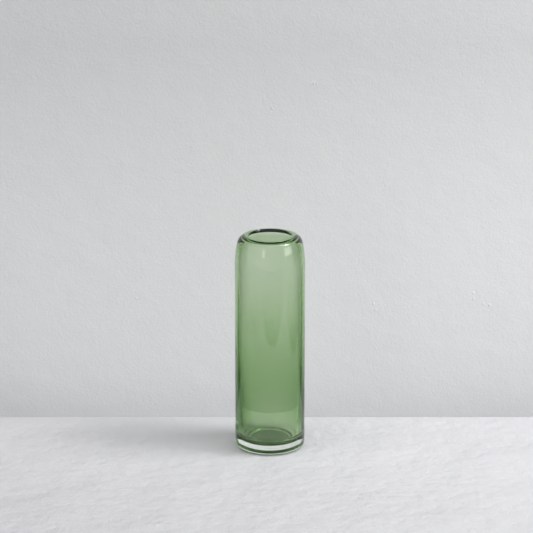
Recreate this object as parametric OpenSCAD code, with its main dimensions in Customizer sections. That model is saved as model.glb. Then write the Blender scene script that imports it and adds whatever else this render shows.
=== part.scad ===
// Bud vase of cased glass: a green inner layer inside a clear outer layer of wall and shoulder,
// with a clear lip ring at the mouth and a thick clear base.
// Millimetres. +Z is up. The origin is the centre of the circle that the vase stands on.

/* [Body] */
// Outside diameter of the straight part of the body
body_d = 65; // [56:1:80]
// Overall height
height = 204; // [185:1:240]
// Height at which the wall starts to draw in
taper_z = 173.5; // [120:0.5:174]
// Radius of the long curve that draws the wall in
taper_r = 119; // [110:1:160]
// Radius of the rounded shoulder
shoulder_r = 8.9; // [7.5:0.1:11]
// Radius of the rounded heel between the wall and the underside
heel_r = 5.2; // [3:0.1:6]

/* [Glass layers] */
// Thickness of the whole wall, clear and green together, where it is even
wall_t = 3.7; // [3.2:0.1:4.5]
// Height below which the wall thickens towards the foot
thicken_z = 100; // [80:5:120]
// How much thicker the wall would be at the height of the table
thicken_t = 4.7; // [2:0.1:5]
// Thickness of the green layer near the mouth
green_thin_t = 0.6; // [0.4:0.05:0.8]
// Thickness of the green layer low on the wall, where it is deepest in colour
green_thick_t = 1.5; // [0.8:0.05:1.6]
// Height at which the green layer is thickest
green_peak_z = 50; // [35:1:80]
// Height over which the green layer thins out above that
green_spread = 70; // [50:1:90]
// Height over which the green layer thins out below that
green_foot_spread = 27; // [20:1:50]
// Thickness of the green layer under the shoulder and round the lip
green_lip_t = 0.9; // [0.6:0.05:1.2]

/* [Base] */
// Thickness of the clear glass under the green layer
base_t = 7; // [6:0.1:10]
// Thickness of the green layer across the floor of the vase
green_floor_t = 1; // [0.8:0.1:2]
// Radius of the rounded corner between the floor and the wall, outside the green layer
bowl_r = 9; // [7:0.1:12]
// Radius of the hollow pushed up into the underside
hollow_r = 23.9; // [18:0.1:24.5]
// Depth of that hollow, before its roof sagged
hollow_depth = 3.6; // [1:0.1:4]
// How far the middle of the hollow's roof has sagged back, as a share of that depth
hollow_sag = 0.64; // [0:0.01:0.8]
// How steep the edge of the hollow is: 4 is a soft dish, more is a steeper edge
hollow_edge = 10; // [4:1:12]

/* [Mouth] */
// Thickness of the rolled lip
lip_t = 3.2; // [2.8:0.1:3.6]
// Radius of the tight inside corner under the shoulder
under_r = 1.6; // [1.2:0.1:3]

/* [Hidden] */

$fn = 120;
// Largest turn between two points of an arc, in degrees
arc_step = 5;
// Spacing of the points along the wall's curved lines
layer_step = 11;
// Points from the middle to the edge of the hollow, closer together towards the edge
hollow_points = 16;

body_r = body_d / 2;
floor_z = base_t + green_floor_t;
thickening = thicken_t / pow(thicken_z, 2);

// Centre of the long curve, and of the shoulder's curve inside it, which meets it smoothly
taper_x = body_r - taper_r;
shoulder_z = height - shoulder_r;
shoulder_x = curve_x(taper_r, shoulder_r, shoulder_z);

// Rolled edge of the lip, and the inside corner that runs on from it
lip_r = lip_t / 2;
lip_z = height - lip_r;
under_z = height - lip_t - under_r;

// Outside seam between the clear shoulder and the lip ring, a little way out from the rolled lip
seam_out = 0.75 * lip_t;
seam_turn = acos(seam_out / shoulder_r);

// Long curves of the bore and of the face between the layers, about the same centre as the outside
bore_taper_r = taper_r - wall_t;
layer_taper_r = bore_taper_r + green_thickness(taper_z);
layer_under_r = under_r + green_lip_t;

// Corner curves, outside and inside the green layer, whose radii differ by bowl_step
bowl_step = 0.8;
bowl_z = base_t + bowl_r;
bore_corner_r = bowl_r - bowl_step;

// Turn of the outer corner curve at which it passes the level of the vase's floor
casing_foot_turn = -asin((bowl_z - floor_z) / bowl_r);

clear_colour = [0.86, 0.90, 0.89, 0.35];
green_colour = [0.42, 0.60, 0.36, 0.55];

function bore_r(z) = body_r - wall_t - thickening * pow(max(0, thicken_z - z), 2);

function green_thickness(z) =
    let (spread = z > green_peak_z ? green_spread : green_foot_spread)
    green_thin_t + (green_thick_t - green_thin_t) * exp(-pow((z - green_peak_z) / spread, 2));

function layer_r(z) = bore_r(z) + green_thickness(z);

// Height of the hollow's roof, at a share u of its radius
function hollow_height(u) = hollow_depth * (1 - pow(u, hollow_edge) - hollow_sag * (1 - u * u));

function reversed(line) = [for (i = [len(line) - 1 : -1 : 0]) line[i]];

// Points of a circular arc in the plane of the outline
function arc(x, z, r, from, to) =
    let (n = ceil(abs(to - from) / arc_step))
    [for (i = [0 : n]) let (a = from + (to - from) * i / n) [x + r * cos(a), z + r * sin(a)]];

// A small curve about height z inside a long one: where the two meet, and how far out its centre lies
function curve_turn(long_r, r, z) = asin((z - taper_z) / (long_r - r));
function curve_x(long_r, r, z) = taper_x + (long_r - r) * cos(curve_turn(long_r, r, z));

// The upper wall: the long curve up from the straight part, then the small one as far as the turn `to`
function upper_wall(long_r, r, z, to) =
    let (turn = curve_turn(long_r, r, z))
    concat(
        arc(taper_x, taper_z, long_r, 0, turn),
        arc(curve_x(long_r, r, z), z, r, turn + arc_step, to)
    );

function outside_upper() = upper_wall(taper_r, shoulder_r, shoulder_z, seam_turn);
function layer_upper() = upper_wall(layer_taper_r, layer_under_r, under_z, 90);
function bore_upper() = upper_wall(bore_taper_r, under_r, under_z, 90);

// Rounded corner of a given radius on a flat floor, up to the wall, which leans a little where it starts
function corner(wall_r, floor, r, from) =
    arc(wall_r - r, floor + r, r, from, -atan(2 * thickening * (thicken_z - floor - r)));

// The outer face of the green layer, from the given turn of its bottom corner nearly up to taper_z
function green_low(from_turn) =
    let (n = ceil((taper_z - bowl_z) / layer_step))
    concat(
        corner(layer_r(bowl_z), base_t, bowl_r, from_turn),
        [for (i = [0 : n - 1]) let (z = bowl_z + (taper_z - bowl_z) * i / n) [layer_r(z), z]]
    );

// The inside face of the vase, from the edge of its flat floor to the end of the corner under the shoulder
function bore_line() =
    let (
        corner_z = floor_z + bore_corner_r,
        n = ceil((thicken_z - corner_z) / layer_step)
    )
    concat(
        corner(bore_r(corner_z), floor_z, bore_corner_r, -90),
        [for (i = [0 : n]) let (z = corner_z + (thicken_z - corner_z) * i / n) [bore_r(z), z]],
        bore_upper()
    );

// Thick clear disc: hollow underneath, rounded heel, and a shallow dish that holds the green floor
module clear_glass_base() {
    hollow = [for (i = [0 : hollow_points])
        let (u = sin(90 * i / hollow_points)) [hollow_r * u, hollow_height(u)]];
    dish = arc(layer_r(bowl_z) - bowl_r, bowl_z, bowl_r, casing_foot_turn, -90);
    color(clear_colour)
        rotate_extrude()
            polygon(concat(
                hollow,
                arc(body_r - heel_r, heel_r, heel_r, -90, 0),
                [[body_r, floor_z]],
                dish,
                [[0, base_t]]
            ));
}

// Clear outer wall: a straight tube standing on the base
module clear_glass_casing() {
    color(clear_colour)
        rotate_extrude()
            polygon(concat(
                [[body_r, floor_z], [body_r, taper_z], [layer_r(taper_z), taper_z]],
                reversed(green_low(casing_foot_turn))
            ));
}

// The same clear layer drawn in over the top of the wall, open at the lip's seam
module clear_glass_shoulder() {
    color(clear_colour)
        rotate_extrude()
            polygon(concat(outside_upper(), reversed(layer_upper())));
}

// Green inner cup: floor, rounded corner, wall and shoulder, rolled round under the lip
module green_glass_liner() {
    color(green_colour)
        rotate_extrude()
            polygon(concat(
                [[0, base_t]],
                green_low(-90),
                layer_upper(),
                arc(shoulder_x, lip_z, lip_r - green_lip_t, 270, 180),
                arc(shoulder_x, lip_z, lip_r, 180, 270),
                reversed(bore_line()),
                [[0, floor_z]]
            ));
}

// Clear fire-polished ring round the mouth: the upper half of the rolled lip
module clear_lip_ring() {
    layer_end = [curve_x(layer_taper_r, layer_under_r, under_z), under_z + layer_under_r];
    color(clear_colour)
        rotate_extrude()
            polygon(concat(
                arc(shoulder_x, shoulder_z, shoulder_r, seam_turn, 90),
                arc(shoulder_x, lip_z, lip_r, 90 + arc_step, 180),
                arc(shoulder_x, lip_z, lip_r - green_lip_t, 180, 270),
                [layer_end]
            ));
}

clear_glass_base();
clear_glass_casing();
clear_glass_shoulder();
green_glass_liner();
clear_lip_ring();
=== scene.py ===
import math

import bmesh
import bpy
import numpy as np
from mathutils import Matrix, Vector


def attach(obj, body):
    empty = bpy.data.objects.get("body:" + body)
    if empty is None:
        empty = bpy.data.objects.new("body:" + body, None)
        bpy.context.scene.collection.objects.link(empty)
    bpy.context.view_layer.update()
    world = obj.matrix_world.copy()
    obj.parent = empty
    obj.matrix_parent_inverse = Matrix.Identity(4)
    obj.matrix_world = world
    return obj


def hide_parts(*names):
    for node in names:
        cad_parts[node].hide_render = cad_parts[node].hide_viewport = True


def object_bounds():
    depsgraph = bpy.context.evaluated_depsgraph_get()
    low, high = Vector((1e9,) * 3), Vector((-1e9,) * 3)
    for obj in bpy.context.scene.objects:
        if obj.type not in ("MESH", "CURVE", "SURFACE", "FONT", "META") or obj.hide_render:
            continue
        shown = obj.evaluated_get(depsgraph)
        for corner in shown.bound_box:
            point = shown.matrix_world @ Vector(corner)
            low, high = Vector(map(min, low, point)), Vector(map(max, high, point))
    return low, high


MM = 0.001

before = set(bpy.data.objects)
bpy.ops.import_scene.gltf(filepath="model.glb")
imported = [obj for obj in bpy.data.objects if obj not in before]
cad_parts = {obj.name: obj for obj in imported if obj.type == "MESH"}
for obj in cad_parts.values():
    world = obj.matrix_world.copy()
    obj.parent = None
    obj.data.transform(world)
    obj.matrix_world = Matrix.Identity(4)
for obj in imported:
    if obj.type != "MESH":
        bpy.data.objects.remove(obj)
cad_low, cad_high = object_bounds()
scene = bpy.context.scene


# ---------------------------------------------------------------- the vase's section, in millimetres

# Outside: straight body, the long curve that draws the wall in, rounded shoulder and rounded heel
BODY_R = (cad_high.x - cad_low.x) / 2 / MM
HEIGHT = cad_high.z / MM
TAPER_Z, TAPER_R = 173.5, 119.0
TAPER_X = BODY_R - TAPER_R
SHOULDER_R, HEEL_R = 8.9, 5.2

# Whole wall: even above THICKEN_Z, and thicker towards the foot
WALL_T = 3.7
THICKEN_Z, THICKEN_T = 100.0, 4.7
THICKENING = THICKEN_T / THICKEN_Z**2

# Green layer: thin at the top and under the shoulder, thickest at GREEN_PEAK_Z
GREEN_THIN_T, GREEN_THICK_T, GREEN_LIP_T = 0.6, 1.5, 0.9
GREEN_PEAK_Z, GREEN_SPREAD, GREEN_FOOT_SPREAD = 50.0, 70.0, 27.0

# Base: clear disc, green floor, the rounded corner between them and the wall, hollow in the underside
BASE_T, GREEN_FLOOR_T = 7.0, 1.0
FLOOR_Z = BASE_T + GREEN_FLOOR_T
BOWL_R, BOWL_STEP = 9.0, 0.8
BORE_CORNER_R = BOWL_R - BOWL_STEP
HOLLOW_R, HOLLOW_DEPTH, HOLLOW_SAG, HOLLOW_EDGE = 23.9, 3.6, 0.64, 10

# Mouth: rolled lip, the tight corner under the shoulder, and the seam outside between them
LIP_T, UNDER_R = 3.2, 1.6
LIP_R = LIP_T / 2
LIP_Z = HEIGHT - LIP_R
UNDER_Z = HEIGHT - LIP_T - UNDER_R
SHOULDER_Z = HEIGHT - SHOULDER_R
SHOULDER_TURN = math.degrees(math.asin((SHOULDER_Z - TAPER_Z) / (TAPER_R - SHOULDER_R)))
SHOULDER_X = TAPER_X + (TAPER_R - SHOULDER_R) * math.cos(math.radians(SHOULDER_TURN))
SEAM_OUT = 0.75 * LIP_T
SEAM_R = SHOULDER_X + SEAM_OUT
SEAM_TURN = math.degrees(math.acos(SEAM_OUT / SHOULDER_R))

# Between two pieces of glass that are fused in the real vase
GAP = 0.02

# Points round the vase, and along the lines of its section
AROUND = 256
TURN = np.linspace(0, 2 * math.pi, AROUND, endpoint=False)
CORNER_STEPS, TAPER_STEPS, SHOULDER_STEPS, ROLL_STEPS = 16, 14, 18, 32
BORE_STEPS, LAYER_STEPS, OUTSIDE_STEPS, HOLLOW_STEPS = 60, 120, 60, 48


def arc(x, z, r, start, end, steps):
    a = np.radians(np.linspace(start, end, steps + 1))
    return np.column_stack([x + r * np.cos(a), z + r * np.sin(a)])


def line(a, b, steps):
    t = np.linspace(0, 1, steps + 1)[:, None]
    return np.array(a) * (1 - t) + np.array(b) * t


def join(*parts):
    """One polyline from several that meet end to end."""
    out = [parts[0]]
    for p in parts[1:]:
        out.append(p[1:] if np.hypot(*(p[0] - out[-1][-1])) < 1e-6 else p)
    return np.vstack(out)


def bore_radius(z):
    """The wall is thickest at the foot, where the glass ran down while it was soft."""
    return BODY_R - WALL_T - THICKENING * np.maximum(0, THICKEN_Z - z) ** 2


def even_green(z):
    """Thickness of the green layer at each height, before it ran."""
    spread = np.where(z > GREEN_PEAK_Z, GREEN_SPREAD, GREEN_FOOT_SPREAD)
    return GREEN_THIN_T + (GREEN_THICK_T - GREEN_THIN_T) * np.exp(-(((z - GREEN_PEAK_Z) / spread) ** 2))


def upper_wall(radius, r, z, end_r=None):
    """Drawn-in wall of the given radius, then a curve of radius r about height z, as far in as end_r."""
    turn = math.degrees(math.asin((z - TAPER_Z) / (radius - r)))
    centre = TAPER_X + (radius - r) * math.cos(math.radians(turn))
    end_turn = 90 if end_r is None else math.degrees(math.acos((end_r - centre) / r))
    return join(
        arc(TAPER_X, TAPER_Z, radius, 0, turn, TAPER_STEPS),
        arc(centre, z, r, turn, end_turn, SHOULDER_STEPS),
    )


def corner(top_r, floor, r):
    """Rounded corner between a flat floor and the wall, which leans a little where it meets it."""
    z = floor + r
    lean = math.degrees(math.atan(2 * THICKENING * (THICKEN_Z - z)))
    return arc(top_r - r, z, r, -90, -lean, CORNER_STEPS)


def wall_line(start, end_z, radius, steps):
    """Up the wall from `start`, and gently onto the given radius at each height."""
    t = np.linspace(0, 1, steps + 1)
    z = start[1] + (end_z - start[1]) * t
    r = radius(z)
    return np.column_stack([r + (start[0] - r[0]) * (1 - t), z])


def left_of(points, by):
    """Moves a section line to its left-hand side, seen from start to end."""
    d = np.gradient(points, axis=0)
    d /= np.hypot(d[:, 0], d[:, 1])[:, None]
    return points + by * np.column_stack([-d[:, 1], d[:, 0]])


# ---------------------------------------------------------------- unevenness of blown glass

# Largest departure from the even section, in millimetres
BORE_UNEVEN, OUTSIDE_UNEVEN, GREEN_UNEVEN = 0.12, 0.06, 0.08
# More green at the back of the mouth, and the heights over which it comes in
BACK_EXTRA, BACK_LOW, BACK_HIGH = 0.9, 184, 194
# Runs of green that end in a drop: turn and half width in degrees, bottom, length, extra thickness
DRIPS = (
    (274, 12.5, 107, 24, 0.8),
    (314, 9, 98, 34, 0.8),
    (243, 9, 118, 14, 0.3),
)
# Upright stripes of green: turn and half width in degrees, lowest and highest point, extra thickness
BANDS = (
    (212, 10, 14, 112, 0.8),
    (229, 8, 10, 72, 0.45),
    (201, 4.5, 40, 175, 0.9),
    (340, 4.5, 20, 200, 0.9),
)
# How much the edge of a drop rises to its sides, how steeply, and how soft it is
DROP_RISE, DROP_CURVE, DROP_SOFT = 14, 2.6, 1.2
# Heights over which a stripe comes in at its foot and dies out at its top
BAND_IN, BAND_OUT = 12, 50


def ripple(turn, z, waves, seed):
    """Slow unevenness over the wall, between about -1 and 1; each wave is (times round, height)."""
    rng = np.random.default_rng(seed)
    total = np.zeros(np.broadcast(turn, z).shape)
    weight = 0
    for around, height in waves:
        phase, lean = rng.uniform(0, 2 * math.pi), rng.uniform(-1, 1)
        total += np.cos(around * turn + 2 * math.pi * z / height + phase + lean) / (1 + 0.3 * around)
        weight += 1 / (1 + 0.3 * around)
    return total / weight


def smooth_step(x, low, high):
    t = np.clip((x - low) / (high - low), 0, 1)
    return t * t * (3 - 2 * t)


def degrees_off(turn, at):
    """How far round from the turn `at`, in degrees to either side."""
    return (np.degrees(turn) - at + 180) % 360 - 180


def bore_wobble(turn, z):
    fade = smooth_step(z, 12, 30) * (1 - smooth_step(z, 170, 195))
    return BORE_UNEVEN * ripple(turn, z, [(1, 170), (2, 95), (3, 130), (5, 70)], 4) * fade


def outside_wobble(turn, z):
    fade = smooth_step(z, 8, 30) * (1 - smooth_step(z, 165, 185))
    return -OUTSIDE_UNEVEN * fade * (1 + ripple(turn, z, [(1, 210), (2, 120), (4, 80)], 9))


def drip(turn, z, at, half_width, bottom_z, length, extra):
    """Run of thicker green that ends in a rounded drop."""
    off = degrees_off(turn, at)
    edge = bottom_z + DROP_RISE * np.abs(off / half_width) ** DROP_CURVE
    inside = smooth_step(z, edge - DROP_SOFT, edge + DROP_SOFT) * (np.abs(off) < 1.5 * half_width)
    return extra * inside * np.exp(-np.maximum(0, z - bottom_z) / length)


def band(turn, z, at, half_width, low, high, extra):
    """Upright stripe of thicker green."""
    off = degrees_off(turn, at) / half_width
    upright = smooth_step(z, low, low + BAND_IN) * (1 - smooth_step(z, high - BAND_OUT, high))
    return extra * np.exp(-(off**2)) * upright


def run_green(turn, z):
    """What the running of the soft glass adds to the even green layer."""
    back = 0.5 + 0.5 * np.sin(turn)
    extra = BACK_EXTRA * back * smooth_step(z, BACK_LOW, BACK_HIGH)
    extra = extra + GREEN_UNEVEN * ripple(turn, z, [(2, 160), (3, 90), (5, 120), (9, 300)], 21)
    for run in DRIPS:
        extra = extra + drip(turn, z, *run)
    for stripe in BANDS:
        extra = extra + band(turn, z, *stripe)
    return extra


def layer_wobble(turn, z):
    """Where the green layer's outer face runs, against the even section line."""
    fade = smooth_step(z, 12, 26) * (1 - smooth_step(z, 196, 199))
    return bore_wobble(turn, z) + run_green(turn, z) * fade


# ---------------------------------------------------------------- meshes of revolution

def link(name, mesh):
    obj = bpy.data.objects.new(name, mesh)
    scene.collection.objects.link(obj)
    return obj


def sweep(points, wobble=None):
    """Turns a section line into rings of points; wobble(turn, z) moves each along its radius."""
    r, z = points[:, 0][:, None], points[:, 1][:, None]
    rr = np.broadcast_to(r, (len(points), AROUND)).copy()
    if wobble is not None:
        rr += wobble(TURN[None, :], z) * (r > 1e-6)
    return np.stack([rr * np.cos(TURN), rr * np.sin(TURN), np.broadcast_to(z, rr.shape)], -1)


def connect(faces, a, b):
    """Faces between two rings of vertices, either of which may be a single one on the axis."""
    if len(a) == 1 and len(b) == 1:
        return
    for k in range(AROUND):
        n = (k + 1) % AROUND
        if len(a) == 1:
            faces.append((a[0], b[n], b[k]))
        elif len(b) == 1:
            faces.append((a[k], a[n], b[0]))
        else:
            faces.append((a[k], a[n], b[n], b[k]))


def shell(name, strips):
    """Closed mesh from strips of rings: each is (rings, fused), and ends where the next one starts.
    Fused faces lie against the neighbouring piece of glass; the others are against air."""
    verts, faces, fused = [], [], []
    first = previous = None
    for rings, is_fused in strips:
        ids = []
        for k, ring in enumerate(rings):
            if k == 0 and previous is not None:
                ids.append(previous)
            elif np.hypot(ring[0][0], ring[0][1]) < 1e-6:
                ids.append([len(verts)])
                verts.append(ring[0])
            else:
                ids.append(list(range(len(verts), len(verts) + AROUND)))
                verts.extend(ring)
            if first is None:
                first = ids[0]
        previous = ids[-1]
        for a, b in zip(ids, ids[1:]):
            connect(faces, a, b)
        fused += [float(is_fused)] * (len(faces) - len(fused))
    if len(first) > 1:
        # the last ring lies on the first one
        keep = previous[0]
        faces = [tuple(first[i - keep] if i >= keep else i for i in f) for f in faces]
        verts = verts[:keep]
    mesh = bpy.data.meshes.new(name)
    mesh.from_pydata([tuple(np.array(v) * MM) for v in verts], [], faces)
    mesh.attributes.new("fused", "FLOAT", "FACE").data.foreach_set("value", fused)
    bm = bmesh.new()
    bm.from_mesh(mesh)
    bmesh.ops.recalc_face_normals(bm, faces=bm.faces)
    # smooth all over, but sharp where a fused face meets one against air
    layer = bm.faces.layers.float["fused"]
    for edge in bm.edges:
        a, b = (f[layer] for f in edge.link_faces)
        edge.smooth = a == b
    for face in bm.faces:
        face.smooth = True
    bm.to_mesh(mesh)
    bm.free()
    return link(name, mesh)


# Corner of the green layer's outer face, cut where the base and the casing meet
CORNER_Z = BASE_T + BOWL_R
bowl = corner(float(bore_radius(CORNER_Z)) + float(even_green(CORNER_Z)), BASE_T, BOWL_R)
foot = bowl[np.argmin(np.abs(bowl[:, 1] - FLOOR_Z))]
bowl_low = bowl[bowl[:, 1] <= foot[1] + 1e-9]
bowl_high = bowl[bowl[:, 1] >= foot[1] - 1e-9]
FOOT_Z = float(foot[1])

# Walls: the vase's inside face, the face between the layers, and the outside
bore_corner = corner(float(bore_radius(FLOOR_Z + BORE_CORNER_R)), FLOOR_Z, BORE_CORNER_R)
bore_wall = wall_line(bore_corner[-1], TAPER_Z, bore_radius, BORE_STEPS)
layer_wall = wall_line(bowl[-1], TAPER_Z, lambda z: bore_radius(z) + even_green(z), LAYER_STEPS)
outside_wall = line((BODY_R, FOOT_Z), (BODY_R, TAPER_Z), OUTSIDE_STEPS)
outside_upper = upper_wall(TAPER_R, SHOULDER_R, SHOULDER_Z, SEAM_R)
bore_upper = upper_wall(TAPER_R - WALL_T, UNDER_R, UNDER_Z)
layer_upper = upper_wall(layer_wall[-1][0] - TAPER_X, UNDER_R + GREEN_LIP_T, UNDER_Z)

# Underside, from the middle outwards, and the heel
u = np.sin(np.linspace(0, math.pi / 2, HOLLOW_STEPS + 1))
hollow = np.column_stack(
    [HOLLOW_R * u, HOLLOW_DEPTH * (1 - u**HOLLOW_EDGE - HOLLOW_SAG * (1 - u * u))]
)
heel = join(
    line(hollow[-1], (BODY_R - HEEL_R, 0), 3),
    arc(BODY_R - HEEL_R, HEEL_R, HEEL_R, -90, 0, 20),
    line((BODY_R, HEEL_R), (BODY_R, FOOT_Z), 5),
)

# Rolled lip: its upper half is clear, and the green layer is rolled round its lower half
roll = arc(SHOULDER_X, LIP_Z, LIP_R, 90, 270, ROLL_STEPS)
half = ROLL_STEPS // 2
layer_roll = arc(SHOULDER_X, LIP_Z, LIP_R - GREEN_LIP_T, 180, 270, half)
under = line(bore_upper[-1], roll[-1], 2)
layer_under = line(layer_upper[-1], layer_roll[-1], 4)

base = shell("clear_base", [
    (sweep(hollow), False),
    (sweep(heel), False),
    (sweep(line((BODY_R, FOOT_Z), bowl_low[-1], 2)), True),
    (sweep(bowl_low[::-1]), True),
    (sweep(line(bowl_low[0], (0, BASE_T), 10)), True),
])
casing = shell("clear_casing", [
    (sweep(outside_wall + (0, GAP), outside_wobble), False),
    (sweep(line((BODY_R, TAPER_Z), (layer_wall[-1][0], TAPER_Z), 2) + (0, GAP)), True),
    (sweep(layer_wall[::-1] + (0, GAP), layer_wobble), True),
    (sweep(bowl_high[::-1] + (0, GAP)), True),
    (sweep(line(bowl_high[0], (BODY_R, FOOT_Z), 2) + (0, GAP)), True),
])
shoulder = shell("clear_shoulder", [
    (sweep(outside_upper + (0, 2 * GAP), outside_wobble), False),
    (sweep(line(outside_upper[-1], layer_upper[-1], 4) + (0, 2 * GAP)), True),
    (sweep(layer_upper[::-1] + (0, 2 * GAP), layer_wobble), True),
    (sweep(line(layer_upper[0], (BODY_R, TAPER_Z), 2) + (0, 2 * GAP)), True),
])
green_out = left_of(
    join(line((0, BASE_T), bowl[0], 10), bowl, layer_wall, layer_upper, layer_under, layer_roll[::-1]),
    GAP,
)
green_out[0][0] = 0
green_in = join(
    line((0, FLOOR_Z), bore_corner[0], 10), bore_corner, bore_wall, bore_upper, under, roll[:half - 1:-1]
)
liner = shell("green_liner", [
    (sweep(green_out, layer_wobble), True),
    (sweep(line(green_out[-1], green_in[-1], 2)), True),
    (sweep(green_in[::-1], bore_wobble), False),
])
lip = shell("clear_lip", [
    (sweep(join(arc(SHOULDER_X, SHOULDER_Z, SHOULDER_R, SEAM_TURN, 90, 8), roll[:half + 1])), False),
    (sweep(line(roll[half], layer_roll[0], 2)), True),
    (sweep(layer_roll), True),
    (sweep(layer_under[::-1]), True),
    (sweep(line(layer_upper[-1], outside_upper[-1], 4)), True),
])


# ---------------------------------------------------------------- glass

GLASS_IOR = 1.5
GLASS_ROUGHEST = 0.02
GREEN_TINT, GREEN_DENSITY = (0.23, 0.55, 0.0), 515.0


def glass(name, tint=None):
    """Clear glass on faces against air; faces fused to the next piece of glass let light straight through."""
    m = bpy.data.materials.new(name)
    m.use_nodes = True
    tree = m.node_tree
    tree.nodes.clear()
    add, wire = tree.nodes.new, tree.links.new
    out = add("ShaderNodeOutputMaterial")
    mix = add("ShaderNodeMixShader")
    body = add("ShaderNodeBsdfPrincipled")
    body.inputs["Base Color"].default_value = (1, 1, 1, 1)
    body.inputs["IOR"].default_value = GLASS_IOR
    body.inputs["Transmission Weight"].default_value = 1.0
    through = add("ShaderNodeBsdfTransparent")
    fused = add("ShaderNodeAttribute")
    fused.attribute_name = "fused"
    noise = add("ShaderNodeTexNoise")
    noise.inputs["Scale"].default_value = 60.0
    noise.inputs["Detail"].default_value = 3.0
    coord = add("ShaderNodeTexCoord")
    gloss = add("ShaderNodeMapRange")
    gloss.inputs["From Min"].default_value = 0.55
    gloss.inputs["To Min"].default_value = 0.0
    gloss.inputs["To Max"].default_value = GLASS_ROUGHEST
    wire(coord.outputs["Object"], noise.inputs["Vector"])
    wire(noise.outputs["Fac"], gloss.inputs["Value"])
    wire(gloss.outputs["Result"], body.inputs["Roughness"])
    wire(fused.outputs["Fac"], mix.inputs["Fac"])
    wire(body.outputs[0], mix.inputs[1])
    wire(through.outputs[0], mix.inputs[2])
    wire(mix.outputs[0], out.inputs["Surface"])
    if tint:
        volume = add("ShaderNodeVolumeAbsorption")
        volume.inputs["Color"].default_value = (*tint, 1)
        volume.inputs["Density"].default_value = GREEN_DENSITY
        wire(volume.outputs[0], out.inputs["Volume"])
    return m


for obj, node, slot, tint in (
    (base, "clear_glass_base", "clear_base_glass", None),
    (casing, "clear_glass_casing", "clear_casing_glass", None),
    (shoulder, "clear_glass_shoulder", "clear_shoulder_glass", None),
    (liner, "green_glass_liner", "green_glass", GREEN_TINT),
    (lip, "clear_lip_ring", "clear_lip_glass", None),
):
    obj.data.materials.append(glass(slot, tint))
    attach(obj, "root")
    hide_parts(node)


# ---------------------------------------------------------------- table and wall

TABLE_Z, TABLE_EDGE_Y, EDGE_R = -0.35, 78.0, 3.0
TABLE_FRONT_Y, TABLE_HALF = -900, 1400
WALL_Y, WALL_HALF, WALL_TOP = 260.0, 360, 400
# The cloth and the wall both run down out of sight to here
BOTTOM_Z = -400
LINEN_TONE = (0.80, 0.80, 0.825)
LINEN_GRAIN = [(14, 5, 6.0), (80, 4, 1.6), (700, 2, 0.35)]
PLASTER_GRAIN = [(45, 3, 0.8), (420, 4, 0.35)]
# Two heights of the plaster and its tones there; it changes evenly between them. The darkening upwards is
# painted shade, for the light that falls off towards the top of the wall
PLASTER_LOW = (-20, (0.83, 0.835, 0.84))
PLASTER_PAINTED_SHADE_HIGH = (330, (0.55, 0.555, 0.557))
# Where lumps stand together on the plaster: x, z and how many
CLUSTERS = ((44, 293, 9), (3, 268, 5), (111, 57, 2), (212, 66, 2), (227, 56, 2))
SINGLE_CRUMBS = 70
# How squarely a face of a lump has to look into the room to be kept
CRUMB_FACING = 0.72


def matt(name, tone, grain):
    """Dull pale surface of one tone; `grain` lists the sizes and depths of its relief as
    (scale, detail, distance in mm)."""
    m = bpy.data.materials.new(name)
    m.use_nodes = True
    tree = m.node_tree
    add, wire = tree.nodes.new, tree.links.new
    shader = tree.nodes["Principled BSDF"]
    shader.inputs["Specular IOR Level"].default_value = 0.2
    shader.inputs["Base Color"].default_value = (*tone, 1)
    coord = add("ShaderNodeTexCoord")
    rough = add("ShaderNodeMapRange")
    rough.inputs["To Min"].default_value = 0.8
    rough.inputs["To Max"].default_value = 1.0
    normal = None
    for scale, detail, depth in grain:
        noise = add("ShaderNodeTexNoise")
        noise.inputs["Scale"].default_value = scale
        noise.inputs["Detail"].default_value = detail
        bump = add("ShaderNodeBump")
        bump.inputs["Strength"].default_value = 1.0
        bump.inputs["Distance"].default_value = depth * MM
        wire(coord.outputs["Object"], noise.inputs["Vector"])
        wire(noise.outputs["Fac"], bump.inputs["Height"])
        if normal:
            wire(normal, bump.inputs["Normal"])
        normal = bump.outputs["Normal"]
    # the finest grain also varies how dull the surface is
    wire(noise.outputs["Fac"], rough.inputs["Value"])
    wire(rough.outputs["Result"], shader.inputs["Roughness"])
    wire(normal, shader.inputs["Normal"])
    # seen from behind it is not there, so that it never hides the vase
    side = add("ShaderNodeNewGeometry")
    gone = add("ShaderNodeBsdfTransparent")
    mix = add("ShaderNodeMixShader")
    wire(side.outputs["Backfacing"], mix.inputs["Fac"])
    wire(shader.outputs[0], mix.inputs[1])
    wire(gone.outputs[0], mix.inputs[2])
    wire(mix.outputs[0], tree.nodes["Material Output"].inputs["Surface"])
    return m


def paint_shade_upwards(material, low, high):
    """Paints shade into a dull surface: its tone changes evenly between two heights, each given as (z in mm,
    tone).
    """
    tree = material.node_tree
    add, wire = tree.nodes.new, tree.links.new
    coord = add("ShaderNodeTexCoord")
    height = add("ShaderNodeSeparateXYZ")
    level = add("ShaderNodeCombineXYZ")
    tone = add("ShaderNodeMapRange")
    tone.data_type = "FLOAT_VECTOR"
    # the vector's own sockets follow the six plain ones: value, from low, from high, to low, to high
    value, from_low, from_high, to_low, to_high = list(tone.inputs)[6:11]
    from_low.default_value = (low[0] * MM,) * 3
    from_high.default_value = (high[0] * MM,) * 3
    to_low.default_value = low[1]
    to_high.default_value = high[1]
    wire(coord.outputs["Object"], height.inputs[0])
    for axis in range(3):
        wire(height.outputs["Z"], level.inputs[axis])
    wire(level.outputs[0], value)
    wire(tone.outputs["Vector"], tree.nodes["Principled BSDF"].inputs["Base Color"])


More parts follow.
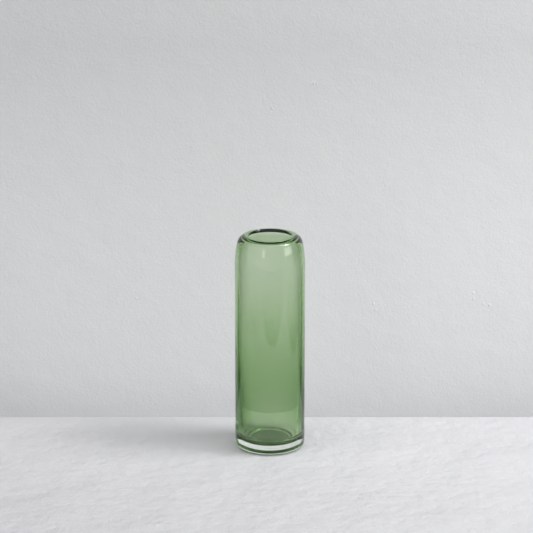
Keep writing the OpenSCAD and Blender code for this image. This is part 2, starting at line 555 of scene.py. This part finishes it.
def sheet(name, across, back, material):
    """Surface with its x along `across` and its (y, z) along `back`."""
    verts = [(x * MM, y * MM, z * MM) for x in across for y, z in back]
    n = len(back)
    faces = [(i * n + k, i * n + n + k, i * n + n + k + 1, i * n + k + 1)
             for i in range(len(across) - 1) for k in range(n - 1)]
    mesh = bpy.data.meshes.new(name)
    mesh.from_pydata(verts, [], faces)
    mesh.materials.append(material)
    for face in mesh.polygons:
        face.use_smooth = True
    link(name, mesh)


def crumbs(name, places, material):
    """Small lumps left standing on the plaster; each place is (x, z, radius)."""
    bm = bmesh.new()
    for x, z, r in places:
        lump = bmesh.ops.create_icosphere(bm, subdivisions=2, radius=r * MM)["verts"]
        bmesh.ops.scale(bm, vec=(1, 0.45, 1.2), verts=lump)
        bmesh.ops.translate(bm, vec=(x * MM, WALL_Y * MM, z * MM), verts=lump)
    bm.normal_update()
    # only what faces the room: from behind, neither the wall nor its lumps may be seen
    hidden = [f for f in bm.faces if f.normal.y > -CRUMB_FACING]
    bmesh.ops.delete(bm, geom=hidden, context="FACES")
    mesh = bpy.data.meshes.new(name)
    bm.to_mesh(mesh)
    bm.free()
    mesh.materials.append(material)
    link(name, mesh)


linen = matt("table_cloth", LINEN_TONE, LINEN_GRAIN)
plaster = matt("plaster", PLASTER_LOW[1], PLASTER_GRAIN)
# painted shade: the plaster darkens evenly towards the top of the wall, where less light falls
paint_shade_upwards(plaster, PLASTER_LOW, PLASTER_PAINTED_SHADE_HIGH)
sheet("table", np.linspace(-TABLE_HALF, TABLE_HALF, 141), join(
    line((TABLE_FRONT_Y, TABLE_Z), (TABLE_EDGE_Y - EDGE_R, TABLE_Z), 60),
    arc(TABLE_EDGE_Y - EDGE_R, TABLE_Z - EDGE_R, EDGE_R, 90, 0, 6),
    line((TABLE_EDGE_Y, TABLE_Z - EDGE_R), (TABLE_EDGE_Y, BOTTOM_Z), 8),
), linen)
sheet("wall", np.linspace(-WALL_HALF, WALL_HALF, 37),
      line((WALL_Y, BOTTOM_Z), (WALL_Y, WALL_TOP), 4), plaster)

scatter = np.random.default_rng(12)
places = [(scatter.uniform(-330, 330), scatter.uniform(-40, 390), scatter.uniform(0.4, 1.2))
          for _ in range(SINGLE_CRUMBS)]
for x, z, count in CLUSTERS:
    places += [(x + scatter.normal(0, 2.4), z + scatter.normal(0, 2.4), scatter.uniform(1.0, 1.9))
               for _ in range(count)]
crumbs("plaster_crumbs", places, plaster)


# ---------------------------------------------------------------- light

def area_light(name, place, aim, wide, tall, power):
    lamp = bpy.data.lights.new(name, "AREA")
    lamp.shape = "RECTANGLE"
    lamp.size, lamp.size_y, lamp.energy = wide * MM, tall * MM, power
    obj = link(name, lamp)
    obj.location = Vector(place) * MM
    obj.rotation_euler = (Vector(aim) * MM - obj.location).to_track_quat("-Z", "Y").to_euler()


# The window and the skylight light the room; the doorway is the faint upright streak on the shoulder
area_light("window", (1377, -643, 643), (0, 0, 138), 826, 1010, 7.5)
area_light("skylight", (840, -110, 1240), (0, 0, 138), 420, 420, 6.5)
area_light("doorway", (-562, -1391, 420), (0, 0, 190), 240, 460, 0.65)

# Even light from the room in front of the vase, which fades to the darker room behind it
FRONT_ROOM, BACK_ROOM, ROOM_FADE = 0.9, 0.07, 0.15
world = bpy.data.worlds.new("room")
scene.world = world
world.use_nodes = True
tree = world.node_tree
where = tree.nodes.new("ShaderNodeTexCoord")
split = tree.nodes.new("ShaderNodeSeparateXYZ")
fade = tree.nodes.new("ShaderNodeMapRange")
fade.inputs["From Min"].default_value = -ROOM_FADE
fade.inputs["From Max"].default_value = ROOM_FADE
fade.inputs["To Min"].default_value = FRONT_ROOM
fade.inputs["To Max"].default_value = BACK_ROOM
tree.links.new(where.outputs["Generated"], split.inputs["Vector"])
tree.links.new(split.outputs["Y"], fade.inputs["Value"])
tree.links.new(fade.outputs["Result"], tree.nodes["Background"].inputs["Strength"])
tree.nodes["Background"].inputs["Color"].default_value = (1, 1, 1, 1)


# ---------------------------------------------------------------- camera

CAMERA_PLACE = Vector((-3.2, -1927.8, 726.6))
CAMERA_TILT = math.radians(16)
lens = bpy.data.cameras.new("camera")
lens.sensor_width = 36
lens.lens = 147.55
lens.clip_start, lens.clip_end = 0.05, 50
camera = link("camera", lens)
camera.location = CAMERA_PLACE * MM
camera.rotation_euler = (math.pi / 2 - CAMERA_TILT, 0, 0)
scene.camera = camera

# Light passes the vase's faces many times over
scene.view_settings.view_transform = "Standard"
scene.cycles.max_bounces = 32
scene.cycles.transmission_bounces = 32
scene.cycles.glossy_bounces = 16
scene.cycles.transparent_max_bounces = 64
